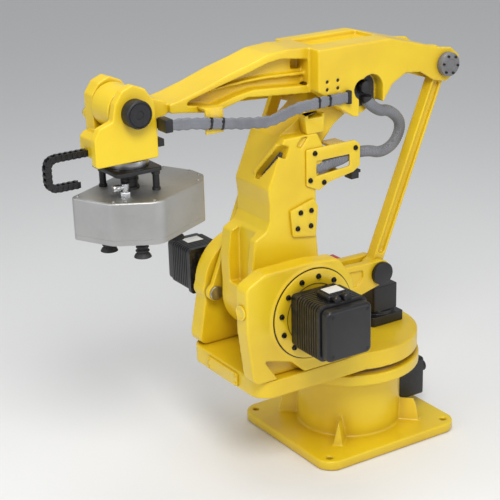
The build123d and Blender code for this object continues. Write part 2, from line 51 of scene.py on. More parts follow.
SLOT = {s["node"]: s["material_slot"] for s in frame["record"]["subparts"]}
scene = bpy.context.scene

# ------------------------------------------------------------------ camera
VIEW_W = 232.0                      # part of the 500 px frame that the render shows
VIEW_C = (263.0, 222.0)
right = Vector((-0.84849582, 0.52811152, -0.03395692))
down = Vector((0.22825794, 0.30733243, -0.92382092))
forward = Vector((-0.47744441, -0.79160912, -0.38131593))
cam_data = bpy.data.cameras.new("camera")
cam = bpy.data.objects.new("camera", cam_data)
scene.collection.objects.link(cam)
scene.camera = cam
cam_data.sensor_width = 36.0
cam_data.lens = 36.0 * 640.92 / VIEW_W
cam_data.shift_x = (VIEW_C[0] - 250.0) / VIEW_W
cam_data.shift_y = -(VIEW_C[1] - 250.0) / VIEW_W
rot = Matrix((right, -down, -forward)).transposed()
cam.matrix_world = Matrix.Translation(Vector((2.59098, 3.46954, 2.21690))) @ rot.to_4x4()
cam_data.clip_start, cam_data.clip_end = 0.05, 60

# ------------------------------------------------------------------ stage
world = bpy.data.worlds.new("world")
scene.world = world
world.use_nodes = True
world.node_tree.nodes["Background"].inputs[0].default_value = (0.95, 0.97, 1.0, 1)
world.node_tree.nodes["Background"].inputs[1].default_value = 0.42


def light(name, loc, target, size, energy, color=(1, 1, 1)):
    d = bpy.data.lights.new(name, "AREA")
    d.shape = "DISK"
    d.size = size
    d.energy = energy
    d.color = color
    o = bpy.data.objects.new(name, d)
    o.location = loc
    o.rotation_mode = "QUATERNION"
    o.rotation_quaternion = (Vector(target) - Vector(loc)).to_track_quat("-Z", "Y")
    scene.collection.objects.link(o)
    return o


MID = (0.33, 0.0, 0.75)
light("key", (1.6, 2.6, 3.8), MID, 1.8, 112, (1.0, 0.985, 0.96))
light("front", (4.0, 0.4, 2.0), MID, 1.6, 26, (0.97, 0.98, 1.0))
light("fill", (-1.6, 3.4, 1.6), MID, 2.4, 20, (0.95, 0.97, 1.0))
light("top", (0.2, -0.6, 4.4), MID, 2.6, 46)


def mat(name):
    m = bpy.data.materials.new(name)
    m.use_nodes = True
    return m, m.node_tree.nodes, m.node_tree.links, m.node_tree.nodes["Principled BSDF"]


fm, fn, fl, fb = mat("floor")
fb.inputs["Base Color"].default_value = (0.86, 0.86, 0.855, 1)
fb.inputs["Roughness"].default_value = 0.7
me = bpy.data.meshes.new("floor")
bm = bmesh.new()
bmesh.ops.create_grid(bm, x_segments=1, y_segments=1, size=14)
bm.to_mesh(me)
floor = bpy.data.objects.new("floor", me)
floor.location = (0, 0, -0.0015)
me.materials.append(fm)
scene.collection.objects.link(floor)
scene.view_settings.view_transform = "Standard"


# ------------------------------------------------------------------ materials
def coords(nodes):
    return nodes.new("ShaderNodeTexCoord").outputs["Object"]


def noise(nodes, links, scale, detail=4, rough=0.55, vec=None, stretch=None):
    n = nodes.new("ShaderNodeTexNoise")
    n.inputs["Scale"].default_value = scale
    n.inputs["Detail"].default_value = detail
    n.inputs["Roughness"].default_value = rough
    v = vec if vec is not None else coords(nodes)
    if stretch:
        mp = nodes.new("ShaderNodeMapping")
        mp.inputs["Scale"].default_value = stretch
        links.new(v, mp.inputs["Vector"])
        v = mp.outputs["Vector"]
    links.new(v, n.inputs["Vector"])
    return n.outputs["Fac"]


def ramp(nodes, links, src, stops):
    r = nodes.new("ShaderNodeValToRGB")
    links.new(src, r.inputs["Fac"])
    e = r.color_ramp.elements
    e[0].position, e[0].color = stops[0]
    e[1].position, e[1].color = stops[-1]
    for p, c in stops[1:-1]:
        x = e.new(p)
        x.color = c
    return r.outputs["Color"]


def maprange(nodes, links, src, a, b, c, d):
    r = nodes.new("ShaderNodeMapRange")
    links.new(src, r.inputs["Value"])
    for k, v in zip(("From Min", "From Max", "To Min", "To Max"), (a, b, c, d)):
        r.inputs[k].default_value = v
    return r.outputs["Result"]


def mix(nodes, links, fac, a, b, mode="MIX"):
    m = nodes.new("ShaderNodeMix")
    m.data_type = "RGBA"
    m.blend_type = mode
    if isinstance(fac, (int, float)):
        m.inputs["Factor"].default_value = fac
    else:
        links.new(fac, m.inputs["Factor"])
    for k, v in (("A", a), ("B", b)):
        s = [i for i in m.inputs if i.name == k and i.type == "RGBA"][0]
        if isinstance(v, tuple):
            s.default_value = v
        else:
            links.new(v, s)
    return [o for o in m.outputs if o.type == "RGBA"][0]


def bump(nodes, links, height, strength, dist, prev=None):
    b = nodes.new("ShaderNodeBump")
    b.inputs["Strength"].default_value = strength
    b.inputs["Distance"].default_value = dist
    links.new(height, b.inputs["Height"])
    if prev is not None:
        links.new(prev, b.inputs["Normal"])
    return b.outputs["Normal"]


def ao(nodes, links, dist=0.03):
    a = nodes.new("ShaderNodeAmbientOcclusion")
    a.inputs["Distance"].default_value = dist
    a.samples = 6
    return a.outputs["AO"]


def paint(name, base, dark, light_c, rough=0.36, cast=0.35, wear=0.5, coat=0.25, painted_shade_amount=0.6, under=(0.30, 0.27, 0.22, 1)):
    """Sprayed paint over a casting: tone drift, orange peel, painted shade darkening the hollows by ambient occlusion,
    scuffed edges.
    """
    m, n, l, b = mat(name)
    drift = noise(n, l, 3.2, 3)
    col = ramp(n, l, drift, [(0.30, dark), (0.52, base), (0.74, light_c)])
    spots = noise(n, l, 46, 6, 0.65)
    fine = maprange(n, l, spots, 0.45, 0.75, 0.0, 0.10)
    col = mix(n, l, fine, col, dark)
    # painted shade: ambient occlusion darkens the paint towards deep brown in hollows, creases and between parts
    occ = ao(n, l, 0.045)
    ao_shade_mask = maprange(n, l, occ, 0.25, 0.95, painted_shade_amount, 0.0)
    painted_shade_col = mix(n, l, ao_shade_mask, col, (dark[0] * 0.55, dark[1] * 0.42, dark[2] * 0.5, 1))
    # scuffed edges: pointiness times a noise patch mixes in the undercoat colour
    geo = n.new("ShaderNodeNewGeometry")
    sep = n.new("ShaderNodeSeparateXYZ")
    l.new(geo.outputs["Normal"], sep.inputs[0])
    edge = maprange(n, l, geo.outputs["Pointiness"], 0.53, 0.60, 0.0, 1.0)
    patch = maprange(n, l, noise(n, l, 70, 5, 0.7), 0.50, 0.62, 0.0, wear)
    mul = n.new("ShaderNodeMath")
    mul.operation = "MULTIPLY"
    l.new(edge, mul.inputs[0])
    l.new(patch, mul.inputs[1])
    worn = mix(n, l, mul.outputs[0], painted_shade_col, under)
    l.new(worn, b.inputs["Base Color"])
    r = maprange(n, l, noise(n, l, 12, 5), 0.3, 0.7, rough - 0.06, rough + 0.10)
    l.new(r, b.inputs["Roughness"])
    b.inputs["Coat Weight"].default_value = coat
    b.inputs["Coat Roughness"].default_value = 0.16
    b.inputs["Specular IOR Level"].default_value = 0.5
    grain = noise(n, l, 210, 4, 0.6)
    peel = noise(n, l, 900, 2, 0.5)
    nn = bump(n, l, grain, cast, 0.0006)
    nn = bump(n, l, peel, 0.10, 0.0002, nn)
    l.new(nn, b.inputs["Normal"])
    return m


Y_BASE, Y_DARK, Y_LIGHT = (0.80, 0.56, 0.010, 1), (0.71, 0.47, 0.008, 1), (0.84, 0.62, 0.016, 1)
M_CAST = paint("cast_yellow", Y_BASE, Y_DARK, Y_LIGHT, cast=0.45)
M_MACH = paint("machined_yellow", Y_BASE, Y_DARK, Y_LIGHT, rough=0.30, cast=0.12, coat=0.35)
M_BLACK = paint("motor_black", (0.0075, 0.0075, 0.009, 1), (0.004, 0.004, 0.005, 1), (0.015, 0.015, 0.017, 1),
                rough=0.40, cast=0.30, wear=0.35, coat=0.1, under=(0.09, 0.09, 0.095, 1))
M_DARK = paint("dark_fitting", (0.009, 0.009, 0.011, 1), (0.005, 0.005, 0.006, 1), (0.018, 0.018, 0.020, 1),
               rough=0.42, cast=0.1, wear=0.25, coat=0.0, under=(0.08, 0.08, 0.08, 1))
M_RED = paint("red_paint", (0.55, 0.018, 0.012, 1), (0.40, 0.010, 0.008, 1), (0.65, 0.03, 0.02, 1), rough=0.35, cast=0.2,
              wear=0.6)
M_GREY = paint("grey_cap", (0.20, 0.20, 0.205, 1), (0.14, 0.14, 0.145, 1), (0.26, 0.26, 0.265, 1), rough=0.4, cast=0.2)


def metal(name, base, rough, stretch=None, amount=0.35, aniso=0.0):
    m, n, l, b = mat(name)
    b.inputs["Metallic"].default_value = 1.0
    s = noise(n, l, 130, 5, 0.7, stretch=stretch or (1, 1, 1))
    big = noise(n, l, 6, 4)
    c = ramp(n, l, big, [(0.3, tuple(x * 0.86 for x in base[:3]) + (1,)), (0.7, base)])
    smudge = maprange(n, l, noise(n, l, 16, 5, 0.6), 0.52, 0.72, 0.0, 0.25)
    c = mix(n, l, smudge, c, (base[0] * 0.7, base[1] * 0.7, base[2] * 0.68, 1))
    l.new(c, b.inputs["Base Color"])
    l.new(maprange(n, l, s, 0.3, 0.7, rough - 0.07, rough + 0.12), b.inputs["Roughness"])
    if aniso:
        b.inputs["Anisotropic"].default_value = aniso
    l.new(bump(n, l, s, amount, 0.00025), b.inputs["Normal"])
    return m


M_STEEL = metal("machined_steel", (0.50, 0.50, 0.51, 1), 0.32, (1, 14, 1), 0.25)
M_BOLT = metal("bolt_black_oxide", (0.045, 0.045, 0.05, 1), 0.36, (1, 1, 1), 0.2)
M_ZINC = metal("screw_zinc", (0.42, 0.42, 0.43, 1), 0.34, (1, 1, 1), 0.2)
M_STAIN = metal("brushed_stainless", (0.54, 0.54, 0.53, 1), 0.50, (1, 1, 26), 0.10, 0.3)
M_CHROME = metal("chrome", (0.62, 0.62, 0.63, 1), 0.20, (1, 1, 1), 0.05)


def rubber(name, base, rough=0.6, scale=700):
    m, n, l, b = mat(name)
    c = ramp(n, l, noise(n, l, 9, 4), [(0.35, tuple(x * 0.7 for x in base[:3]) + (1,)), (0.7, base)])
    l.new(c, b.inputs["Base Color"])
    l.new(maprange(n, l, noise(n, l, 40, 4), 0.3, 0.7, rough - 0.08, rough + 0.1), b.inputs["Roughness"])
    l.new(bump(n, l, noise(n, l, scale, 2), 0.25, 0.0002), b.inputs["Normal"])
    return m


M_CABLE = rubber("cable_jacket", (0.010, 0.010, 0.012, 1), 0.42)
M_CUP = rubber("cup_rubber", (0.03, 0.03, 0.032, 1), 0.6)
M_LABEL = rubber("blank_label", (0.80, 0.80, 0.78, 1), 0.4)


def sleeve(name, base, lighter):
    """Woven textile sleeve: two crossed sets of ribs and a slight fuzz."""
    m, n, l, b = mat(name)
    v = coords(n)
    w1 = n.new("ShaderNodeTexWave")
    w1.bands_direction = "DIAGONAL"
    w1.inputs["Scale"].default_value = 150
    w1.inputs["Distortion"].default_value = 0.6
    l.new(v, w1.inputs["Vector"])
    mp = n.new("ShaderNodeMapping")
    mp.inputs["Scale"].default_value = (-1, 1, 1)
    l.new(v, mp.inputs["Vector"])
    w2 = n.new("ShaderNodeTexWave")
    w2.bands_direction = "DIAGONAL"
    w2.inputs["Scale"].default_value = 150
    w2.inputs["Distortion"].default_value = 0.6
    l.new(mp.outputs["Vector"], w2.inputs["Vector"])
    mx = n.new("ShaderNodeMath")
    mx.operation = "MAXIMUM"
    l.new(w1.outputs["Fac"], mx.inputs[0])
    l.new(w2.outputs["Fac"], mx.inputs[1])
    c = ramp(n, l, mx.outputs[0], [(0.3, base), (0.95, lighter)])
    c = mix(n, l, maprange(n, l, noise(n, l, 14, 4), 0.4, 0.7, 0.0, 0.3), c, (base[0] * 0.6, base[1] * 0.6, base[2] * 0.6, 1))
    l.new(c, b.inputs["Base Color"])
    b.inputs["Roughness"].default_value = 0.72
    b.inputs["Sheen Weight"].default_value = 0.25
    l.new(bump(n, l, mx.outputs[0], 0.5, 0.0006), b.inputs["Normal"])
    return m


M_HOSE = sleeve("woven_sleeve", (0.085, 0.09, 0.105, 1), (0.25, 0.26, 0.29, 1))
# dark blue-grey used as painted shade behind the arm window and in the lower arm's slot
M_SHADE_PAINT = paint("window_painted_shade", (0.045, 0.055, 0.08, 1), (0.03, 0.035, 0.05, 1), (0.07, 0.08, 0.11, 1), rough=0.45, cast=0.15, wear=0.2, coat=0.1)

BYSLOT = {"arm_yellow_paint": M_CAST, "yellow_paint": M_CAST, "hub_yellow": M_MACH, "black_paint": M_BLACK, "steel": M_STEEL,
          "stainless": M_STAIN, "grey_hose": M_HOSE, "cable": M_CABLE, "rubber": M_CUP, "red_paint": M_RED, "label": M_LABEL,
          "grey_cap": M_GREY}
for n_, o in N.items():
    o.data.materials.clear()
    o.data.materials.append(BYSLOT[SLOT[n_]])


# ------------------------------------------------------------------ mesh helpers
def new_obj(name, bm_or_me, material, body, node=None, smooth=True):
    if isinstance(bm_or_me, bmesh.types.BMesh):
        me_ = bpy.data.meshes.new(name)
        bm_or_me.to_mesh(me_)
        bm_or_me.free()
    else:
        me_ = bm_or_me
    o = bpy.data.objects.new(name, me_)
    scene.collection.objects.link(o)
    me_.materials.clear()
    me_.materials.append(material)
    if smooth:
        for p in me_.polygons:
            p.use_smooth = True
    if body:
        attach(o, body)
    if node:
        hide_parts(*([node] if isinstance(node, str) else node))
    return o


def apply_mods(o):
    dg = bpy.context.evaluated_depsgraph_get()
    m = bpy.data.meshes.new_from_object(o.evaluated_get(dg), depsgraph=dg)
    old = o.data
    o.modifiers.clear()
    o.data = m
    bpy.data.meshes.remove(old)
    return o


def copy_node(node, name):
    me_ = N[node].data.copy()
    bm_ = bmesh.new()
    bm_.from_mesh(me_)
    bmesh.ops.remove_doubles(bm_, verts=bm_.verts, dist=2e-5)
    bm_.to_mesh(me_)
    bm_.free()
    o = bpy.data.objects.new(name, me_)
    scene.collection.objects.link(o)
    return o


def cast(node, voxel=0.0032, smooth_n=7, ratio=0.35, material=None, extra=None):
    """The casting's shape with the soft rounded edges and fillets of a sand casting."""
    o = copy_node(node, node + "_cast")
    if extra:
        extra(o)
    r = o.modifiers.new("remesh", "REMESH")
    r.mode = "VOXEL"
    r.voxel_size = voxel
    r.adaptivity = 0.0
    s = o.modifiers.new("smooth", "SMOOTH")
    s.factor = 0.5
    s.iterations = smooth_n
    d = o.modifiers.new("decimate", "DECIMATE")
    d.ratio = ratio
    bpy.context.view_layer.update()
    apply_mods(o)
    o.data.materials.clear()
    o.data.materials.append(material or BYSLOT[SLOT[node]])
    for p in o.data.polygons:
        p.use_smooth = True
    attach(o, BODY[node])
    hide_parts(node)
    return o


def crisp(node, width=0.002, segments=2, angle=35, material=None):
    """A machined or sheet piece with small even edge rounds."""
    o = copy_node(node, node + "_edge")
    bm_ = bmesh.new()
    bm_.from_mesh(o.data)
    bmesh.ops.dissolve_limit(bm_, angle_limit=math.radians(1.5), verts=bm_.verts, edges=bm_.edges)
    bm_.to_mesh(o.data)
    bm_.free()
    b = o.modifiers.new("bevel", "BEVEL")
    b.width = width
    b.segments = segments
    b.limit_method = "ANGLE"
    b.angle_limit = math.radians(angle)
    b.use_clamp_overlap = True
    apply_mods(o)
    o.data.materials.clear()
    o.data.materials.append(material or BYSLOT[SLOT[node]])
    for p in o.data.polygons:
        p.use_smooth = True
    o.data.set_sharp_from_angle(angle=math.radians(38))
    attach(o, BODY[node])
    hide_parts(node)
    return o



def mm(*p):
    return Vector([v / 1000.0 for v in p])


def frame_for(axis):
    z = Vector(axis).normalized()
    return z.to_track_quat("Z", "Y").to_matrix().to_4x4()


def join_parts(name, parts, material, body, node=None, extra_mats=()):
    """Puts several bmesh pieces in one mesh. parts is a list of (bmesh, material index)."""
    out = bmesh.new()
    tmp = bpy.data.meshes.new("tmp")
    for p, idx in parts:
        for f in p.faces:
            f.material_index = idx
        p.to_mesh(tmp)
        p.free()
        out.from_mesh(tmp)
    bpy.data.meshes.remove(tmp)
    o = new_obj(name, out, material, body, node, True)
    for m in extra_mats:
        o.data.materials.append(m)
    o.data.set_sharp_from_angle(angle=math.radians(34))
    return o


def lathe(profile, axis, origin, segments=48):
    """Solid of revolution from (radius, height) points; heights run along axis from origin, in metres."""
    bm_ = bmesh.new()
    rings = []
    for r, h in profile:
        if r < 1e-7:
            rings.append([bm_.verts.new((0, 0, h))])
        else:
            rings.append([bm_.verts.new((r * math.cos(2 * math.pi * i / segments), r * math.sin(2 * math.pi * i / segments), h))
                          for i in range(segments)])
    for a_, b_ in zip(rings, rings[1:]):
        if len(a_) == 1 and len(b_) == 1:
            continue
        for i in range(segments):
            j = (i + 1) % segments
            if len(a_) == 1:
                bm_.faces.new((a_[0], b_[j], b_[i]))
            elif len(b_) == 1:
                bm_.faces.new((a_[i], a_[j], b_[0]))
            else:
                bm_.faces.new((a_[i], a_[j], b_[j], b_[i]))
    bmesh.ops.recalc_face_normals(bm_, faces=bm_.faces)
    bm_.transform(Matrix.Translation(origin) @ frame_for(axis))
    return bm_


def socket_bolt(pos, axis, r, h, washer=True):
    """Socket head cap screw on a washer: chamfered head and a hexagon socket."""
    bm_ = bmesh.new()
    n = 36
    hexr = r * 0.56

    def ring(radius, z, hexa=False):
        out = []
        for i in range(n):
            a_ = 2 * math.pi * i / n
            rr = radius
            if hexa:
                k = (a_ % (math.pi / 3)) - math.pi / 6
                rr = radius * math.cos(math.pi / 6) / math.cos(k)
            out.append(bm_.verts.new((rr * math.cos(a_), rr * math.sin(a_), z)))
        return out
    prof = []
    z0 = 0.0
    if washer:
        prof += [ring(r * 1.32, -0.0004), ring(r * 1.32, h * 0.13), ring(r * 1.28, h * 0.17), ring(r * 1.0, h * 0.17)]
        z0 = h * 0.17
    else:
        prof += [ring(r, -0.0004)]
    prof += [ring(r, h * 0.84), ring(r * 0.965, h * 0.95), ring(r * 0.90, h), ring(hexr * 1.12, h), ring(hexr, h * 0.96, True),
             ring(hexr * 0.98, h * 0.42, True)]
    for a_, b_ in zip(prof, prof[1:]):
        for i in range(n):
            j = (i + 1) % n
            bm_.faces.new((a_[i], a_[j], b_[j], b_[i]))
    bm_.faces.new(prof[-1])
    bm_.faces.new(list(reversed(prof[0])))
    bmesh.ops.recalc_face_normals(bm_, faces=bm_.faces)
    bm_.transform(Matrix.Translation(pos) @ frame_for(axis) @ Matrix.Rotation((pos[0] * 37.0) % 1.0, 4, "Z"))
    return bm_


def islands(node):
    """Boxes (low, high) of a CAD node's separate solids, in the row frame."""
    bm_ = bmesh.new()
    bm_.from_mesh(N[node].data)
    bmesh.ops.remove_doubles(bm_, verts=bm_.verts, dist=2e-5)
    seen, out = set(), []
    mw = N[node].matrix_world
    for v in bm_.verts:
        if v.index in seen:
            continue
        stack, grp = [v], []
        seen.add(v.index)
        while stack:
            w = stack.pop()
            grp.append(mw @ w.co)
            for e in w.link_edges:
                q = e.other_vert(w)
                if q.index not in seen:
                    seen.add(q.index)
                    stack.append(q)
        lo = Vector([min(c[k] for c in grp) for k in range(3)])
        hi = Vector([max(c[k] for c in grp) for k in range(3)])
        out.append((lo, hi))
    bm_.free()
    return out


def bolts(node, axis, material, washer=True):
    parts = []
    k = [abs(a_) for a_ in axis].index(1)
    for lo, hi in islands(node):
        c = (lo + hi) / 2
        base = lo[k] if axis[k] > 0 else hi[k]
        p = c.copy()
        p[k] = base
        others = [i for i in range(3) if i != k]
        r = (hi[others[0]] - lo[others[0]]) / 2
        parts.append((socket_bolt(p, axis, r * 0.86, hi[k] - lo[k], washer), 0))
    return join_parts(node + "_screws", parts, material, BODY[node], node)


bolts("left_hub_bolts", (0, 1, 0), M_BOLT)
bolts("right_hub_bolts", (0, -1, 0), M_BOLT)
bolts("side_pad_bolts", (0, 1, 0), M_BOLT)
bolts("hose_bracket_bolts", (0, 1, 0), M_BOLT)
bolts("lever_pin_bolts", (0, 1, 0), M_DARK, False)


# ------------------------------------------------------------------ castings and machined pieces
for node in ("upper_arm_casting", "lower_arm_casting"):
    cast(node, voxel=0.0030, smooth_n=6, ratio=0.35)
for node in ("turntable_casting", "left_ear", "right_ear", "base_casting"):
    cast(node, voxel=0.0038, smooth_n=6, ratio=0.4)
for node in ("wrist_housing", "crank", "rod", "levelling_rocker", "lower_link", "upper_link"):
    cast(node, voxel=0.0024, smooth_n=6, ratio=0.4)
for node in ("left_hub_flange", "right_hub_flange", "connector_panel", "first_axis_ring", "side_pad", "hose_bracket",
             "arm_cable_box", "round_cover", "front_cover", "transport_bracket", "conduit_stays"):
    crisp(node, 0.0016, material=M_MACH if SLOT[node] in ("hub_yellow", "yellow_paint", "arm_yellow_paint") else None)
for node in ("adapter_plate", "tool_flange", "gripper_base", "crank_pin", "elbow_shaft", "rocker_pins", "link_foot_pin",
             "wrist_pin", "wrist_link_pin", "arm_output_flange"):
    crisp(node, 0.0015)

# ------------------------------------------------------------------ hoses and cables
def route_line(points, res=40):
    """Points along the NURBS line of a route given in millimetres."""
    cu = bpy.data.curves.new("route", "CURVE")
    cu.dimensions = "3D"
    cu.resolution_u = res
    sp = cu.splines.new("NURBS")
    sp.points.add(len(points) - 1)
    for p, q in zip(sp.points, points):
        p.co = (q[0] / 1000.0, q[1] / 1000.0, q[2] / 1000.0, 1.0)
    sp.order_u = 3
    sp.use_endpoint_u = True
    o = bpy.data.objects.new("route", cu)
    scene.collection.objects.link(o)
    bpy.context.view_layer.update()
    dg = bpy.context.evaluated_depsgraph_get()
    m_ = bpy.data.meshes.new_from_object(o.evaluated_get(dg), depsgraph=dg)
    line = [v.co.copy() for v in m_.vertices]
    bpy.data.objects.remove(o)
    bpy.data.curves.remove(cu)
    bpy.data.meshes.remove(m_)
    return line


def resample(line, step):
    out = [line[0].copy()]
    need = step
    total = sum((b_ - a_).length for a_, b_ in zip(line, line[1:]))
    n = max(4, round(total / step))
    step = total / n
    need, acc = step, 0.0
    for a_, b_ in zip(line, line[1:]):
        d = (b_ - a_).length
        while acc + d >= need - 1e-9 and len(out) < n:
            out.append(a_.lerp(b_, (need - acc) / d))
            need += step
        acc += d
    out.append(line[-1].copy())
    return out, total


def sweep(line, section, first=None):
    """Skins cross-sections along line. section(i, n) gives (u, v) points; first is the starting u direction."""
    bm_ = bmesh.new()
    t = (line[1] - line[0]).normalized()
    u = Vector(first) if first else t.orthogonal()
    u = (u - t * u.dot(t)).normalized()
    rings = []
    n = len(line)
    for i, p in enumerate(line):
        a_ = line[max(0, i - 1)]
        b_ = line[min(n - 1, i + 1)]
        t = (b_ - a_).normalized()
        u = (u - t * u.dot(t)).normalized()
        v = t.cross(u)
        rings.append([bm_.verts.new(p + u * x + v * y) for x, y in section(i, n)])
    m_ = len(rings[0])
    for a_, b_ in zip(rings, rings[1:]):
        for k in range(m_):
            bm_.faces.new((a_[k], a_[(k + 1) % m_], b_[(k + 1) % m_], b_[k]))
    bm_.faces.new(list(reversed(rings[0])))
    bm_.faces.new(rings[-1])
    bmesh.ops.recalc_face_normals(bm_, faces=bm_.faces)
    return bm_


def circle(r, seg=28):
    return [(r * math.cos(2 * math.pi * k / seg), r * math.sin(2 * math.pi * k / seg)) for k in range(seg)]


HOSE = [(39.5, 70, 995), (-20, 70, 995), (-90, 50, 968), (-160, 36, 985), (-190, 34, 1050), (-120, 56, 1108),
        (-40, 94, 1122), (4, 94, 1166)]
hose_route = route_line(HOSE)
hose_line, hose_len = resample(hose_route, 0.0011)
PITCH = 0.0066


def hose_section(i, n):
    s_ = i * hose_len / (n - 1)
    end = min(s_, hose_len - s_)
    if end < 0.020:
        r_ = 0.0182 if 0.002 < end < 0.018 else 0.0176
    else:
        r_ = 0.0169 + 0.0013 * (0.5 + 0.5 * math.cos(2 * math.pi * s_ / PITCH)) ** 0.6
    return circle(r_, 30)


bm1 = sweep(hose_line, hose_section)
bm1.faces.ensure_lookup_table()
for f in bm1.faces:
    c = f.calc_center_median()
    f.material_index = 1 if min((c - hose_line[0]).length, (c - hose_line[-1]).length) < 0.021 else 0
hose = new_obj("elbow_hose_sleeve", bm1, M_HOSE, None)
hose.data.materials.append(M_DARK)
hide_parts("elbow_hose")
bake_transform(hose)

LOOP = [(175, 116, 489), (112, 116, 470), (62, 116, 486), (46, 116, 522)]
loop_line, loop_len = resample(route_line(LOOP), 0.003)
loop = new_obj("crank_cable", sweep(loop_line, lambda i, n: circle(0.0060, 16)), M_CABLE, "crank", "crank_cable_loop")

# flat conduit: one woven sleeve from the elbow to the wrist, pinched at its ties
FLAT = [(97, 125, 1194), (150, 125, 1194), (215, 125, 1194), (287, 125, 1190), (335, 125, 1177), (383, 125, 1165), (450, 125, 1172),
        (518, 125, 1182), (582, 125, 1193), (647, 125, 1204), (690, 125, 1209), (718, 125, 1211)]
flat_line, flat_len = resample(route_line(FLAT), 0.0016)
TIES = [0.165, 0.205, 0.548, 0.588]


def flat_section(i, n):
    x = flat_line[i][0]
    pinch = max(math.exp(-((x - t_) / 0.009) ** 2) for t_ in TIES)
    swell = 0.0011 * math.sin(x * 210.0) + 0.0008 * math.sin(x * 93.0 + 1.3)
    hh = 0.0170 + swell - 0.0012 * pinch
    ht = 0.0066 - 0.0010 * pinch + 0.0005 * math.sin(x * 160.0)
    out = []
    for k in range(40):
        a_ = 2 * math.pi * k / 40
        ca, sa = math.cos(a_), math.sin(a_)
        px_ = math.copysign(abs(ca) ** 0.62, ca) * ht
        py_ = math.copysign(abs(sa) ** 0.75, sa) * hh
        if px_ > 0:     # three lengthwise folds in the face that shows
            px_ += 0.0007 * math.cos(py_ * 3.0 * math.pi / hh) * (1 - abs(py_) / hh)
        out.append((px_, py_))
    return out


flat = new_obj("flat_conduit_sleeve", sweep(flat_line, flat_section, (0, 1, 0)), M_HOSE, None)
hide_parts("flat_conduit", "wrist_conduit")
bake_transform(flat)


def rounded_box(lo, hi, r, seg=3):
    bm_ = bmesh.new()
    bmesh.ops.create_cube(bm_, size=1.0)
    lo, hi = Vector(lo) / 1000.0, Vector(hi) / 1000.0
    c_, d_ = (lo + hi) / 2, hi - lo
    for v in bm_.verts:
        v.co = Vector((v.co[0] * d_[0], v.co[1] * d_[1], v.co[2] * d_[2])) + c_
    bmesh.ops.bevel(bm_, geom=bm_.edges[:], offset=r / 1000.0, segments=seg, profile=0.5, affect="EDGES", clamp_overlap=True)
    bmesh.ops.recalc_face_normals(bm_, faces=bm_.faces)
    return bm_


# ties: a strap round the sleeve with a small head, and the moulded end boot
parts = [(rounded_box((86, 118, 1173), (100, 134, 1215), 3), 0)]
for t_ in TIES:
    i = min(range(len(flat_line)), key=lambda k: abs(flat_line[k][0] - t_))
    seg = flat_line[max(0, i - 2):i + 3]
    ring = []
    for k in range(48):
        a_ = 2 * math.pi * k / 48
        ca, sa = math.cos(a_), math.sin(a_)
        ring.append((math.copysign(abs(ca) ** 0.62, ca) * 0.0076, math.copysign(abs(sa) ** 0.75, sa) * 0.0178))
    parts.append((sweep(seg, lambda i_, n_: ring, (0, 1, 0)), 0))
    c_ = flat_line[i] * 1000
    parts.append((rounded_box((c_[0] - 4, 129.5, c_[2] + 4), (c_[0] + 4, 135, c_[2] + 12), 1.2), 0))
join_parts("conduit_ties", parts, M_DARK, "upper_arm", "conduit_clamps")

duct_line, duct_len = resample(route_line([(196, 84, 976), (160, 85, 982), (120, 85, 985), (84, 80, 988), (62, 72, 993), (40, 70, 995)]), 0.0011)
bm_d = sweep(duct_line, lambda i, n: circle(0.0173 + 0.0012 * (0.5 + 0.5 * math.cos(2 * math.pi * i * 0.0011 / PITCH)) ** 0.6, 36))
collar = [lathe([(0.0170, 0.0), (0.0190, 0.0), (0.0196, 0.0006), (0.0196, 0.0112), (0.0190, 0.012), (0.0170, 0.012)], (-1, 0, 0), mm(52, 71, 994.5))]
join_parts("lower_duct_sleeve", [(bm_d, 0)] + [(c_, 1) for c_ in collar], M_HOSE, "lower_arm", "lower_duct", extra_mats=(M_DARK,))

# hose elbow in the arm window, and behind it a dark liner that paints the shade inside the window
join_parts("hose_elbow", [
    (lathe([(0.0, 0.079), (0.0205, 0.079), (0.022, 0.0805), (0.022, 0.093), (0.0195, 0.1005), (0.0135, 0.103), (0.0, 0.103)],
           (0, 1, 0), mm(6, 0, 1207)), 0),
    (lathe([(0.0, 0.075), (0.020, 0.075), (0.020, 0.080), (0.0, 0.080)], (0, 1, 0), mm(32.1, 0, 1206.7)), 0),
    (lathe([(0.0, 0.0), (0.0190, 0.0), (0.0196, 0.001), (0.0196, 0.013), (0.0188, 0.0145), (0.0, 0.0145)],
           (0.068, 0.0, 0.998), mm(2, 92, 1163)), 0)], M_DARK, "elbow_rocker", "duct_elbow")
bm_w = bmesh.new()
arch = [(-45.5, 1144), (45.5, 1144)] + [(45.5 * math.cos(math.pi * k / 24), 1203 + 45.5 * math.sin(math.pi * k / 24)) for k in range(25)]
ring0 = [bm_w.verts.new(mm(x, 75.1, z)) for x, z in arch]
ring1 = [bm_w.verts.new(mm(x, 75.7, z)) for x, z in arch]
for k in range(len(arch)):
    j = (k + 1) % len(arch)
    bm_w.faces.new((ring0[k], ring0[j], ring1[j], ring1[k]))
bm_w.faces.new(ring1)
bm_w.faces.new(list(reversed(ring0)))
bmesh.ops.recalc_face_normals(bm_w, faces=bm_w.faces)
new_obj("window_shade_liner", bm_w, M_SHADE_PAINT, "upper_arm", smooth=False)


# painted shade: dark rings in the gap round the hub and round its inner step, where shadow falls between the parts
join_parts("hub_gap_shade_rings", [
    (lathe([(0.1456, 0.2180), (0.1492, 0.2180), (0.1492, 0.2195), (0.1456, 0.2195), (0.1456, 0.2180)], (0, 1, 0), mm(300, 0, 560), 120), 0),
    (lathe([(0.0985, 0.2215), (0.1003, 0.2215), (0.1003, 0.2242), (0.0985, 0.2242), (0.0985, 0.2215)], (0, 1, 0), mm(300, 0, 560), 96), 0)],
    M_DARK, "turntable")
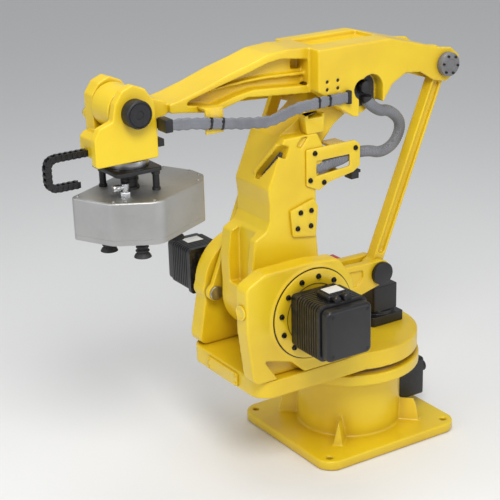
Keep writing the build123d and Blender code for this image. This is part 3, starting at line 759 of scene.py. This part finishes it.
# painted shade: a dark plate set inside the lower arm's slot so the opening reads dark
sx_, sz_ = Vector((0, 1, 0)), Vector((-0.3817, 0, 0.9243))
nn_ = Vector((0.9243, 0, 0.3817))
poly = [(70, 30), (74, 6), (28, -62), (11, -64), (8, -56), (62, 30)]
bm_s = bmesh.new()
lay = [[bm_s.verts.new(mm(339.6, 0, 1025) + (sx_ * u_ + sz_ * v_ + nn_ * d_) / 1000.0) for u_, v_ in poly] for d_ in (-29.0, -21.0)]
bm_s.faces.new(lay[1])
bm_s.faces.new(list(reversed(lay[0])))
for k in range(6):
    bm_s.faces.new((lay[0][k], lay[0][(k + 1) % 6], lay[1][(k + 1) % 6], lay[1][k]))
bmesh.ops.recalc_face_normals(bm_s, faces=bm_s.faces)
new_obj("slot_shade_floor", bm_s, M_SHADE_PAINT, "lower_arm", smooth=False)

# painted shade: dark discs at the bottom of the four accessory holes, where the deep holes are in shade
join_parts("hole_shade_discs", [(lathe([(0.0, 0.1105), (0.0051, 0.1105), (0.0051, 0.1155), (0.0, 0.1155)], (0, 1, 0),
                                  mm(147 + dx, 0, 1238 + dz), 24), 0) for dx in (-20, 20) for dz in (-12, 12)],
           M_DARK, "upper_arm")

# ------------------------------------------------------------------ motors
def square_ring(cx, cz, hx, hz, r, y, per=6):
    out = []
    for (sx, sz, a0) in ((1, 1, 0), (-1, 1, 90), (-1, -1, 180), (1, -1, 270)):
        for k in range(per + 1):
            a_ = math.radians(a0 + 90 * k / per)
            out.append(mm(cx + sx * (hx - r) + r * math.cos(a_), y, cz + sz * (hz - r) + r * math.sin(a_)))
    return out


def loft(rings, cap=True):
    bm_ = bmesh.new()
    vs = [[bm_.verts.new(p) for p in ring] for ring in rings]
    n = len(vs[0])
    for a_, b_ in zip(vs, vs[1:]):
        for k in range(n):
            bm_.faces.new((a_[k], a_[(k + 1) % n], b_[(k + 1) % n], b_[k]))
    if cap:
        bm_.faces.new(list(reversed(vs[0])))
        bm_.faces.new(vs[-1])
    bmesh.ops.recalc_face_normals(bm_, faces=bm_.faces)
    return bm_


def motor(name, node, cx, cz, secs, grooves, extra, body, bolts_at=()):
    """Servo motor as a loft of rounded squares along Y. secs is (y, half x, half z, corner)."""
    rings = []
    for y, hx, hz, r in secs:
        rings.append(square_ring(cx, cz, hx, hz, r, y))
    parts = [(loft(rings), 0)]
    parts += [(e, 0) for e in extra]
    for p, axis, r, h in bolts_at:
        parts.append((socket_bolt(mm(*p), axis, r / 1000.0, h / 1000.0, False), 1))
    return join_parts(name, parts, M_BLACK, body, node, extra_mats=(M_BOLT,))


def rounded_end(y, hx, hz, r, e, sign):
    return [(y - sign * e, hx, hz, r), (y - sign * e * 0.62, hx - e * 0.08, hz - e * 0.08, r), (y - sign * e * 0.29, hx - e * 0.29, hz - e * 0.29, r * 0.95),
            (y - sign * e * 0.08, hx - e * 0.62, hz - e * 0.62, r * 0.9), (y, hx - e, hz - e, r * 0.85)]


def body_secs(y0, y1, h0, h1, r, sign, grooves):
    out = [(y0, h0 - 3, h1 - 3, r), (y0 + sign * 3, h0, h1, r)]
    for g in grooves:
        out += [(g, h0, h1, r), (g + sign * 0.8, h0 - 2.6, h1 - 2.6, r), (g + sign * 3.4, h0 - 2.6, h1 - 2.6, r), (g + sign * 4.2, h0, h1, r)]
    out += [(y1 - sign * 3, h0, h1, r), (y1, h0 - 3, h1 - 3, r)]
    return out


secs = [(224, 85, 85, 14), (247, 85, 85, 14), (249.6, 83, 83, 14), (250, 86, 86, 20)]
secs += body_secs(250.2, 376, 90, 90, 20, 1, [262, 274, 286, 298, 310, 322, 334, 346, 358])
secs += [(376.4, 80, 80, 16), (379, 82, 82, 16)] + rounded_end(412, 82, 82, 16, 10, 1)
conn = [rounded_box((262, 290, 646), (338, 356, 668), 5), rounded_box((268, 296, 660), (332, 350, 672), 3),
        lathe([(0.0, 0.0), (0.013, 0.0), (0.013, 0.010), (0.0118, 0.0105), (0.0118, 0.016), (0.0145, 0.0165), (0.0145, 0.022), (0.013, 0.0235), (0.0, 0.0235)],
              (0, 1, 0), mm(281, 352, 657), 32),
        lathe([(0.0, 0.0), (0.011, 0.0), (0.011, 0.010), (0.0098, 0.0105), (0.0098, 0.016), (0.0125, 0.0165), (0.0125, 0.022), (0.011, 0.0235), (0.0, 0.0235)],
              (0, 1, 0), mm(318, 352, 657), 32)]
motor("crank_motor_body", "crank_motor", 300, 560, secs, None, conn, "turntable",
      [((300 + sx * 64, 412 - 0.6, 560 + sz * 64), (0, 1, 0), 5, 0.6) for sx in (-1, 1) for sz in (-1, 1)])
secs = [(-232, 70, 77.5, 12), (-247, 70, 77.5, 12), (-249.6, 68, 75.5, 12), (-250, 63, 70, 16)]
secs += body_secs(-250.2, -366, 66, 73.5, 16, -1, [-262, -274, -286, -298, -310, -322, -334, -346])
secs += [(-366.4, 60, 67, 14), (-369, 62, 69.5, 14)] + rounded_end(-396, 62, 69.5, 14, 9, -1)
motor("arm_motor_body", "arm_motor", 405, 597.5, secs, None, [], "turntable",
      [((405 + sx * 48, -395.4, 597.5 + sz * 54), (0, -1, 0), 4.5, 0.6) for sx in (-1, 1) for sz in (-1, 1)])
for node in ("first_axis_motor", "tool_motor"):
    cast(node, voxel=0.0018, smooth_n=4, ratio=0.4)
# blank rating plates
parts = [(rounded_box((271, 300, 671.6), (329, 344, 673.2), 0.7, 2), 0), (rounded_box((375, -352, 670.9), (435, -308, 672.2), 0.6, 2), 0)]
for p in ((274.5, 303.5, 673.0), (325.5, 303.5, 673.0), (274.5, 340.5, 673.0), (325.5, 340.5, 673.0)):
    parts.append((lathe([(0.0, 0.0), (0.0016, 0.0), (0.0014, 0.0006), (0.0, 0.0008)], (0, 0, 1), mm(*p), 16), 1))
join_parts("blank_plates", parts, M_LABEL, "turntable", "motor_labels", extra_mats=(M_BOLT,))

# ------------------------------------------------------------------ caps and pins
cap = [(0.0, 0.085), (0.041, 0.085), (0.041, 0.1165), (0.0400, 0.1195), (0.0375, 0.1215), (0.0352, 0.1220), (0.0342, 0.1202),
       (0.0326, 0.1202), (0.0318, 0.1218), (0.0130, 0.1214), (0.0118, 0.1196), (0.0, 0.1196)]
cap2 = [(0.0, 0.110), (0.024, 0.110), (0.024, 0.1195), (0.0225, 0.1215), (0.020, 0.122), (0.008, 0.122), (0.0072, 0.1206), (0.0, 0.1206)]
parts = [(lathe(cap, (0, 1, 0), mm(815.7, 0, 1254.6), 72), 0), (lathe(cap2, (0, -1, 0), mm(815.7, 0, 1254.6), 48), 0)]
for k in range(6):
    a_ = math.radians(60 * k + 12)
    parts.append((socket_bolt(mm(815.7 + 24 * math.cos(a_), 121.6, 1254.6 + 24 * math.sin(a_)), (0, 1, 0), 0.0032, 0.0004, False), 0))
join_parts("wrist_cover_caps", parts, M_DARK, BODY["wrist_caps"], "wrist_caps")
prof = [(0.0, 0.022), (0.0285, 0.022), (0.030, 0.0235), (0.030, 0.0285), (0.029, 0.0296), (0.018, 0.0296), (0.018, 0.1344), (0.0365, 0.1344),
        (0.038, 0.1358), (0.038, 0.1455), (0.0372, 0.1478), (0.0350, 0.1494), (0.0325, 0.150), (0.0315, 0.1484), (0.0300, 0.1484), (0.0292, 0.1498),
        (0.0118, 0.1494), (0.0108, 0.1478), (0.0, 0.1478)]
join_parts("crank_pin_cap", [(lathe(prof, (0, 1, 0), mm(-30.8, 0, 593.3), 64), 0)], M_DARK, BODY["crank_pin"], "crank_pin")
prof = [(0.0, 0.024), (0.0285, 0.024), (0.030, 0.0255), (0.030, 0.0285), (0.029, 0.030), (0.018, 0.030), (0.018, 0.118), (0.0378, 0.118), (0.038, 0.1195),
        (0.038, 0.137), (0.0368, 0.1392), (0.0345, 0.140), (0.0190, 0.140), (0.0180, 0.1386), (0.0, 0.1386)]
join_parts("lever_pin_cap", [(lathe(prof, (0, 1, 0), mm(-298.7, 0, 1240), 64), 0)], M_GREY, BODY["lever_pin"], "lever_pin")

# ------------------------------------------------------------------ gripper
CG, SG = math.cos(math.radians(27)), math.sin(math.radians(27))
PTS = [(176, -126, 18), (176, 20, 42), (100, 137, 56), (-136, 137, 26), (-188, 104, 22), (-212, 50, 22), (-212, -50, 22), (-188, -102, 22), (-136, -130, 22)]


def outline(inset):
    out = []
    n = len(PTS)
    P = [Vector((a_, b_)) for a_, b_, _ in PTS]
    for i in range(n):
        p, q, r_ = P[i - 1], P[i], P[(i + 1) % n]
        d1, d2 = (p - q).normalized(), (r_ - q).normalized()
        half = d1.angle(d2) / 2
        rad = PTS[i][2]
        off = min(rad / math.tan(half), (p - q).length * 0.48, (r_ - q).length * 0.48)
        rad = off * math.tan(half)
        a0, a1 = q + d1 * off, q + d2 * off
        cen = q + (d1 + d2).normalized() * (rad / math.sin(half))
        v0, v1 = a0 - cen, a1 - cen
        ang = v0.angle_signed(v1)
        for k in range(9):
            v = v0.copy()
            v.rotate(Matrix.Rotation(-ang * k / 8, 2))
            out.append((cen + v.normalized() * (rad - inset)))
    return [(772 + p[0] * CG - p[1] * SG, 12 + p[0] * SG + p[1] * CG) for p in out]


def grip_ring(inset, z):
    return [mm(x, y, z) for x, y in outline(inset)]


rings = [grip_ring(6.0, 892.6), grip_ring(6.0, 885.0), grip_ring(5.2, 884.0), grip_ring(0.6, 884.0), grip_ring(0.0, 884.8), grip_ring(0.0, 899.0),
         grip_ring(0.7, 899.5), grip_ring(0.7, 900.5), grip_ring(0.0, 901.0),
         grip_ring(0.0, 1006.0), grip_ring(0.35, 1008.2), grip_ring(1.4, 1010.2), grip_ring(3.2, 1011.5), grip_ring(5.4, 1012.0)]
shell = loft(rings)
parts = [(shell, 0)]
inner = outline(15.0)
for k in range(0, len(inner), 7):
    x, y = inner[k]
    parts.append((socket_bolt(mm(x, y, 1011.8), (0, 0, 1), 0.0042, 0.0030, True), 1))
join_parts("gripper_cover", parts, M_STAIN, "tool", "gripper_housing", extra_mats=(M_ZINC,))

posts = []
for x, y in ((746, 66), (746, -70), (856, -60)):
    posts.append((lathe([(0.0, 1.012), (0.0125, 1.012), (0.0128, 1.0126), (0.0128, 1.0190), (0.0122, 1.0196), (0.0102, 1.0200), (0.0102, 1.0590),
                         (0.0122, 1.0594), (0.0128, 1.0600), (0.0128, 1.0694), (0.0122, 1.070), (0.0, 1.070)], (0, 0, 1), mm(x, y, 0), 32), 0))
posts.append((lathe([(0.0, 1.012), (0.030, 1.012), (0.030, 1.018), (0.0285, 1.0195), (0.025, 1.020), (0.025, 1.034), (0.0262, 1.035), (0.0262, 1.043),
                     (0.025, 1.044), (0.025, 1.062), (0.027, 1.063), (0.027, 1.070), (0.0, 1.070)], (0, 0, 1), mm(800, 0, 0), 48), 1))
join_parts("gripper_posts", posts, M_DARK, "tool", "standoffs", extra_mats=(M_STEEL,))

hexa = [(15.5 * math.cos(math.radians(60 * k)), 15.5 * math.sin(math.radians(60 * k))) for k in range(6)]
parts = []
hexring = lambda f, z: [mm(852 + x * f, 74 + y * f, z) for x, y in hexa]
bmh = loft([hexring(0.94, 1012), hexring(1.0, 1013.2), hexring(1.0, 1026.5), hexring(0.94, 1027.8)])
parts.append((bmh, 0))
parts.append((lathe([(0.0, 1.0275), (0.0105, 1.0275), (0.0105, 1.031), (0.0092, 1.032), (0.0092, 1.036), (0.0115, 1.037), (0.0118, 1.0505), (0.0105, 1.0520),
                     (0.0, 1.052)], (0, 0, 1), mm(852, 74, 0), 36), 0))
parts.append((lathe([(0.0, 0.0), (0.0088, 0.0), (0.0088, 0.018), (0.0078, 0.0185), (0.0078, 0.0205)], (1, 0, 0), mm(852, 74, 1042), 32), 0))
parts.append((lathe([(0.0, 0.020), (0.0098, 0.020), (0.0102, 0.0210), (0.0102, 0.038), (0.0092, 0.040), (0.0, 0.040)], (1, 0, 0), mm(852, 74, 1042), 32), 1))
join_parts("pneumatic_fitting", parts, M_CHROME, "tool", "vacuum_fitting", extra_mats=(M_DARK,))

cups = []
for a_, b_ in ((90, -60), (90, 60), (-90, -60), (-90, 60)):
    x, y = 772 + a_ * CG - b_ * SG, 12 + a_ * SG + b_ * CG
    prof = [(0.0, 0.892), (0.006, 0.892), (0.006, 0.8840), (0.0115, 0.8838), (0.0125, 0.8826), (0.0125, 0.8700), (0.0150, 0.8685), (0.0192, 0.8640), (0.0195, 0.8625),
            (0.0150, 0.8580), (0.0146, 0.8570), (0.0205, 0.8525), (0.0208, 0.8510), (0.0160, 0.8470), (0.0158, 0.8460), (0.0225, 0.8400), (0.0255, 0.8340), (0.0262, 0.8322),
            (0.0250, 0.8325), (0.0205, 0.8400), (0.0, 0.8440)]
    cups.append((lathe(prof, (0, 0, 1), mm(x, y, 0), 44), 0))
join_parts("bellows_cups", cups, M_CUP, "tool", "suction_cups")

# ------------------------------------------------------------------ drag chain at the wrist
CH = [(909, -50, 1126), (970, -50, 1126), (1036, -50, 1126), (1036, -50, 1081), (1036, -50, 1036), (988, -50, 1036), (940, -50, 1036)]
ch_line, ch_len = resample(route_line(CH), 0.0176)
parts = []
for a_, b_ in zip(ch_line, ch_line[1:]):
    t = (b_ - a_).normalized()
    y_ = Vector((0, 1, 0))
    z_ = t.cross(y_).normalized()
    m4 = Matrix((t, y_, z_)).transposed().to_4x4()
    m4.translation = (a_ + b_) / 2
    for sy in (-1, 1):
        for dx, dy, hh, tt in ((-3.2, 11.2, 9.4, 1.5), (3.2, 9.4, 9.4, 1.4)):
            bm_ = rounded_box((-8.4 + dx, sy * dy - tt, -hh), (8.4 + dx, sy * dy + tt, hh), 1.0, 2)
            bm_.transform(m4)
            parts.append((bm_, 0))
        pin = lathe([(0.0, -0.001), (0.0034, -0.001), (0.0034, 0.0006), (0.0, 0.0008)], (0, sy, 0), mm(-5.2, sy * 12.4, 0), 16)
        pin.transform(m4)
        parts.append((pin, 0))
    for sz in (-1, 1):
        bm_ = rounded_box((-4.2, -11.5, sz * 9.6 - 1.2), (4.2, 11.5, sz * 9.6 + 1.2), 0.8, 2)
        bm_.transform(m4)
        parts.append((bm_, 0))
join_parts("chain_links", parts, M_CABLE, BODY["cable_chain"], "cable_chain")
for k, (dy, dz, rr) in enumerate(((-4.5, 1.5, 0.0036), (4.0, -1.5, 0.0042))):
    ln = [p + Vector((0, dy / 1000, 0)) for p in ch_line]
    new_obj("chain_core_%d" % k, sweep(resample(ln, 0.006)[0], lambda i, n: circle(rr, 14)), M_CABLE, BODY["cable_chain"])

# ------------------------------------------------------------------ connectors
for node in ("wrist_connectors", "arm_connector", "base_connectors"):
    crisp(node, 0.003, 3, material=M_DARK)
